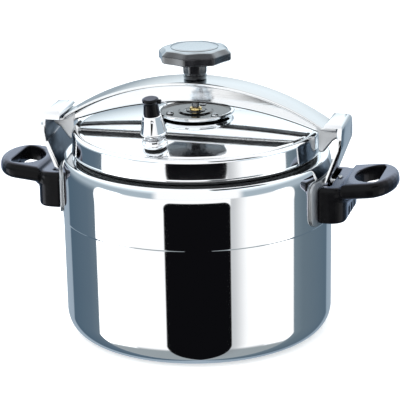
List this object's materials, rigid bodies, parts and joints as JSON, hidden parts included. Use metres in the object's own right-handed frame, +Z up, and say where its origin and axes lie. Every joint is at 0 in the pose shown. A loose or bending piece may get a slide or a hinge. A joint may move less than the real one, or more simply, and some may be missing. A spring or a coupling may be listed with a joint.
{
  "type": "pressure canner",
  "caption": "Round aluminium pressure pot with a domed lid held down by a screw bow hooked under two brackets, loop handles and a weighted steam regulator.",
  "frame": {"origin": "centre of the pot's flat base, on the surface it stands on", "axes": "+Z up, X along the bow and the two handles, the steam regulator on the -Y side"},
  "size_m": [0.3726, 0.2464, 0.2629],
  "materials": {
    "polished_aluminium": "mirror polished",
    "cast_aluminium": "satin, die cast",
    "black_bakelite": "glossy moulded phenolic",
    "black_rubber": "matt",
    "chrome": "bright plated",
    "steel": "zinc plated",
    "brass": "turned"
  },
  "bodies": {
    "pot": {"pot_body": "polished_aluminium", "saddle_right": "cast_aluminium", "saddle_left": "cast_aluminium", "hook_bracket_right": "polished_aluminium", "hook_bracket_left": "polished_aluminium", "handle_right": "black_bakelite", "handle_left": "black_bakelite", "handle_bolt_right": "steel", "handle_bolt_left": "steel", "handle_lock_screw_right": "steel", "handle_lock_screw_left": "steel", "rivet_right_front": "cast_aluminium", "rivet_right_back": "cast_aluminium", "rivet_left_front": "cast_aluminium", "rivet_left_back": "cast_aluminium"},
    "lid_assembly": {"lid": "polished_aluminium", "gasket": "black_rubber", "pressure_dish": "polished_aluminium", "dish_screw_1": "steel", "dish_screw_2": "steel", "dish_screw_3": "steel", "vent_washer": "black_rubber", "vent_pipe": "chrome", "vent_nut": "steel", "safety_washer": "black_rubber", "safety_valve_body": "chrome", "safety_nut": "steel", "safety_plug": "black_rubber"},
    "regulator": {"regulator_weight": "chrome", "regulator_cap": "black_bakelite", "regulator_wire": "steel", "regulator_clip": "steel"},
    "bow_arm": {"bow": "polished_aluminium", "thread_bush": "brass"},
    "foot": {"pressure_foot": "brass"},
    "screw_knob": {"knob": "black_bakelite", "knob_cap": "black_bakelite", "knob_pin": "steel", "spindle": "steel"}
  },
  "joints": [
    {"name": "lid_lift", "type": "slide", "parent": "pot", "child": "lid_assembly", "axis": [0, 0, 1], "range_m": [0, 0.012]},
    {"name": "bow_swing", "type": "hinge", "parent": "lid_assembly", "child": "bow_arm", "pos_m": [0, 0, 0.2], "axis": [0, 0, -1], "range_deg": [0, 70]},
    {"name": "foot_travel", "type": "slide", "parent": "bow_arm", "child": "foot", "axis": [0, 0, 1], "range_m": [0, 0.0045]},
    {"name": "knob_turn", "type": "hinge", "parent": "foot", "child": "screw_knob", "pos_m": [0, 0, 0.24], "axis": [0, 0, 1], "range_deg": [0, 1080]},
    {"name": "regulator_lift", "type": "slide", "parent": "lid_assembly", "child": "regulator", "axis": [-0.0271, -0.1693, 0.9852], "range_m": [0, 0.025]}
  ],
  "couplings": [
    {"joint": "lid_lift", "follows": "bow_swing", "m_per_rad": 0.009822},
    {"joint": "foot_travel", "follows": "knob_turn", "m_per_rad": 0.0002387}
  ]
}
